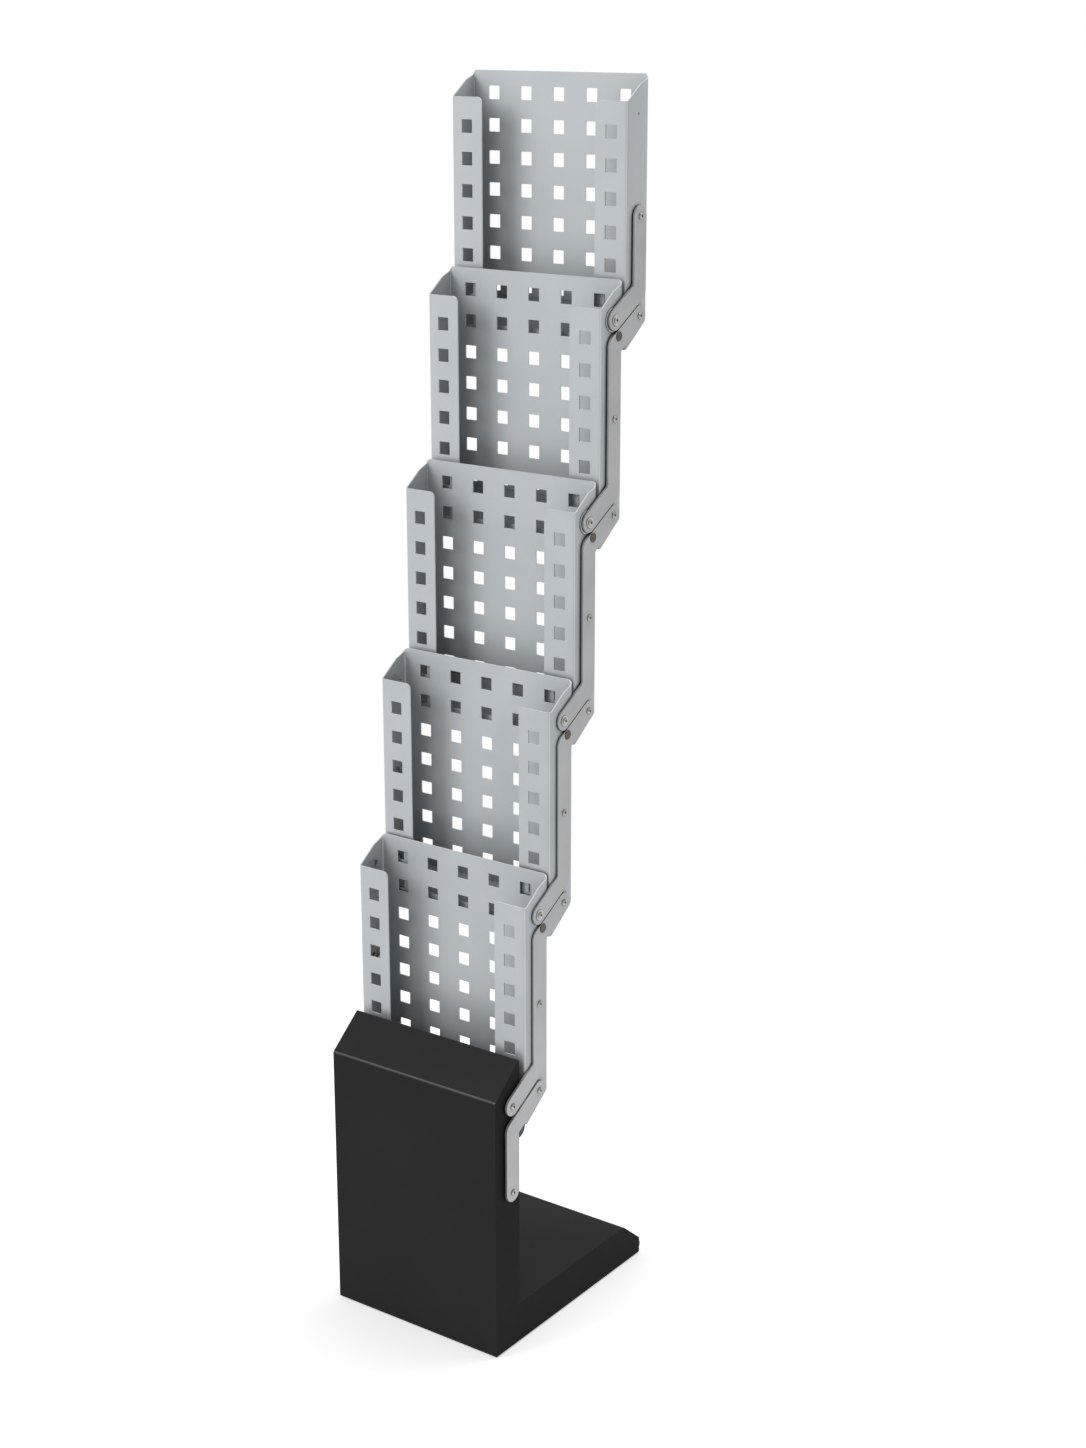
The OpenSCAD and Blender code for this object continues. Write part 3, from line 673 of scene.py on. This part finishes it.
# %% Base housing
bm = bmesh.new()
side = bm.faces.new([bm.verts.new((-WIDTH / 2 * MM, y * MM + front_y, z * MM)) for y, z in base_corners])
extruded = bmesh.ops.extrude_face_region(bm, geom=[side])
bmesh.ops.translate(bm, verts=[v for v in extruded["geom"] if isinstance(v, bmesh.types.BMVert)],
                    vec=(WIDTH * MM, 0, 0))
inner_corner = Vector((0, BLOCK_DEPTH * MM + front_y, FOOT_TOP * MM))
folds = []
for edge in bm.edges:
    start, end = (vert.co for vert in edge.verts)
    across = abs(start.x - end.x) > WIDTH / 2 * MM
    if across and start.z > (BASE_Z + 1) * MM and (start - inner_corner).yz.length > MM:
        folds.append(edge)
folded = bmesh.ops.bevel(bm, geom=folds, offset=BASE_FOLD * MM, segments=4, profile=0.5, affect="EDGES",
                         material=-1)
bm.normal_update()
# The faces of the folds take the lighter finish, a painted highlight
for face in folded["faces"]:
    face.material_index = 1
# The side faces take the darker finish, painted shade
for face in faces_where(bm, lambda c, n: abs(n.x) > FACING):
    face.material_index = 2
bmesh.ops.delete(bm, geom=faces_where(bm, lambda c, n: c.z < BASE_Z + 1), context="FACES_ONLY")
# The broken edges take the darker side finish, painted shade too
housing = finish_piece("base_folded_housing", bm, "base", ["base_housing"],
                       [base_coat, base_fold_painted_highlight, base_side_painted_shade], thickness=BASE_SHEET, edge=BASE_EDGE,
                       edge_finish=2)
print("housing:", len(housing.data.polygons), "faces")

# %% [markdown]
# ## Small parts
#
# Screws, nuts, spacers, studs, glides and the hidden ballast already have their true shape in the frame,
# down to the hex sockets. They could be modelled again, but nothing would be gained, so they keep their
# solids and only get their finishes. The last word of a part's name tells which one.

# %% Finishes of the small parts
finish_of = {
    "screws": screw_steel, "nuts": zinc_steel, "washers": spacer_face, "studs": stud_steel,
    "brackets": zinc_steel, "ballast": ballast_iron, "glides": rubber, "bumper": rubber, "bumpers": rubber,
    "plate": base_coat, "floor": tray_coat, "shell": tray_coat, "housing": base_coat,
    "left": link_face, "right": link_face,
}
for name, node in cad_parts.items():
    finish = finish_of[name.split("_")[-1]]
    node.data.materials.clear()
    node.data.materials.append(finish)
print("carried over:", sum(not node.hide_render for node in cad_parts.values()))

# %% [markdown]
# ## Floor and light
#
# The photograph has a white floor without a horizon and only a faint shadow. The floor is a large plain
# plane. Where the camera sees it, a little of its own white is added, so that it reaches white without
# more light on the stand, and the shadow stays. Far from the stand it turns into pure white and meets the
# white of the world. Metal shows the white floor too, but the white that is added lights nothing.

# %% Floor
HALF_FLOOR, SHADOW_ENDS, PURE_WHITE = 20, 0.7, 1.6
bm = bmesh.new()
bmesh.ops.create_grid(bm, x_segments=1, y_segments=1, size=HALF_FLOOR)
floor_mesh = bpy.data.meshes.new("floor")
bm.to_mesh(floor_mesh)
bm.free()
floor = bpy.data.objects.new("floor", floor_mesh)
bpy.context.scene.collection.objects.link(floor)

floor_material = bpy.data.materials.new("white_floor")
floor_material.use_nodes = True
tree = floor_material.node_tree
tree.nodes.clear()
place = add(tree, "ShaderNodeTexCoord").outputs["Object"]
distance = add(tree, "ShaderNodeVectorMath", {0: place}, operation="LENGTH")
far = add(tree, "ShaderNodeMapRange", {
    "Value": distance.outputs["Value"], "From Min": SHADOW_ENDS, "From Max": PURE_WHITE})
rays = add(tree, "ShaderNodeLightPath")
seen = add(tree, "ShaderNodeMath", {0: rays.outputs["Is Camera Ray"], 1: rays.outputs["Is Glossy Ray"]},
           operation="MAXIMUM")
seen = add(tree, "ShaderNodeMath", {0: seen.outputs[0], 1: rays.outputs["Is Transmission Ray"]},
           operation="MAXIMUM")
paint = add(tree, "ShaderNodeBsdfDiffuse", {"Color": (0.8, 0.8, 0.8, 1)})
glow = add(tree, "ShaderNodeEmission", {"Color": (1, 1, 1, 1), "Strength": 0.4})
near = add(tree, "ShaderNodeAddShader", {0: paint.outputs[0], 1: glow.outputs[0]})
white = add(tree, "ShaderNodeEmission", {"Color": (1, 1, 1, 1), "Strength": 1})
shown = add(tree, "ShaderNodeMixShader", {0: far.outputs["Result"], 1: near.outputs[0], 2: white.outputs[0]})
surface = add(tree, "ShaderNodeMixShader", {0: seen.outputs[0], 1: paint.outputs[0], 2: shown.outputs[0]})
add(tree, "ShaderNodeOutputMaterial", {"Surface": surface.outputs[0]})
floor_mesh.materials.append(floor_material)
print("floor:", 2 * HALF_FLOOR, "m wide")

# %% [markdown]
# ## Surroundings and lamps
#
# A studio with white walls lights a stand from all sides. A white world does the same, dimmer for the stand
# than for the camera. A big soft lamp in front on the left gives the insides of the trays their light and
# shade, and a smaller one high behind on the right brightens the rims, the slope and the foot. Large lamps
# were chosen because the shadow in the photograph has no edge.

# %% World
world = bpy.data.worlds.new("studio")
bpy.context.scene.world = world
world.use_nodes = True
tree = world.node_tree
tree.nodes.clear()
rays = add(tree, "ShaderNodeLightPath")
seen = add(tree, "ShaderNodeMath", {0: rays.outputs["Is Camera Ray"], 1: rays.outputs["Is Transmission Ray"]},
           operation="MAXIMUM")
strength = add(tree, "ShaderNodeMapRange", {"Value": seen.outputs[0], "To Min": 0.62, "To Max": 1})
sky = add(tree, "ShaderNodeBackground", {"Color": (1, 1, 1, 1), "Strength": strength.outputs["Result"]})
add(tree, "ShaderNodeOutputWorld", {"Surface": sky.outputs[0]})
print("world:", world.name)

# %% Lamps
MIDDLE = Vector((0, 0, 0.8))


def softbox(name, azimuth, height, distance, size, power):
    """A square lamp that faces the middle of the stand.

    Its place is given by its angle from the front to the right and its angle above the floor, in degrees.
    """
    lamp = bpy.data.lights.new(name, "AREA")
    lamp.shape = "SQUARE"
    lamp.size = size
    lamp.energy = power
    turn, lift = math.radians(azimuth), math.radians(height)
    way = Vector((math.sin(turn) * math.cos(lift), -math.cos(turn) * math.cos(lift), math.sin(lift)))
    holder = bpy.data.objects.new(name, lamp)
    bpy.context.scene.collection.objects.link(holder)
    holder.location = MIDDLE + way * distance
    holder.rotation_euler = way.to_track_quat("Z", "Y").to_euler()


softbox("key", azimuth=-34, height=28, distance=9, size=4.8, power=345)
softbox("top", azimuth=150, height=60, distance=4.2, size=2.5, power=70)

bpy.context.scene.view_settings.view_transform = "Standard"
print("lamps:", len(bpy.data.lights))
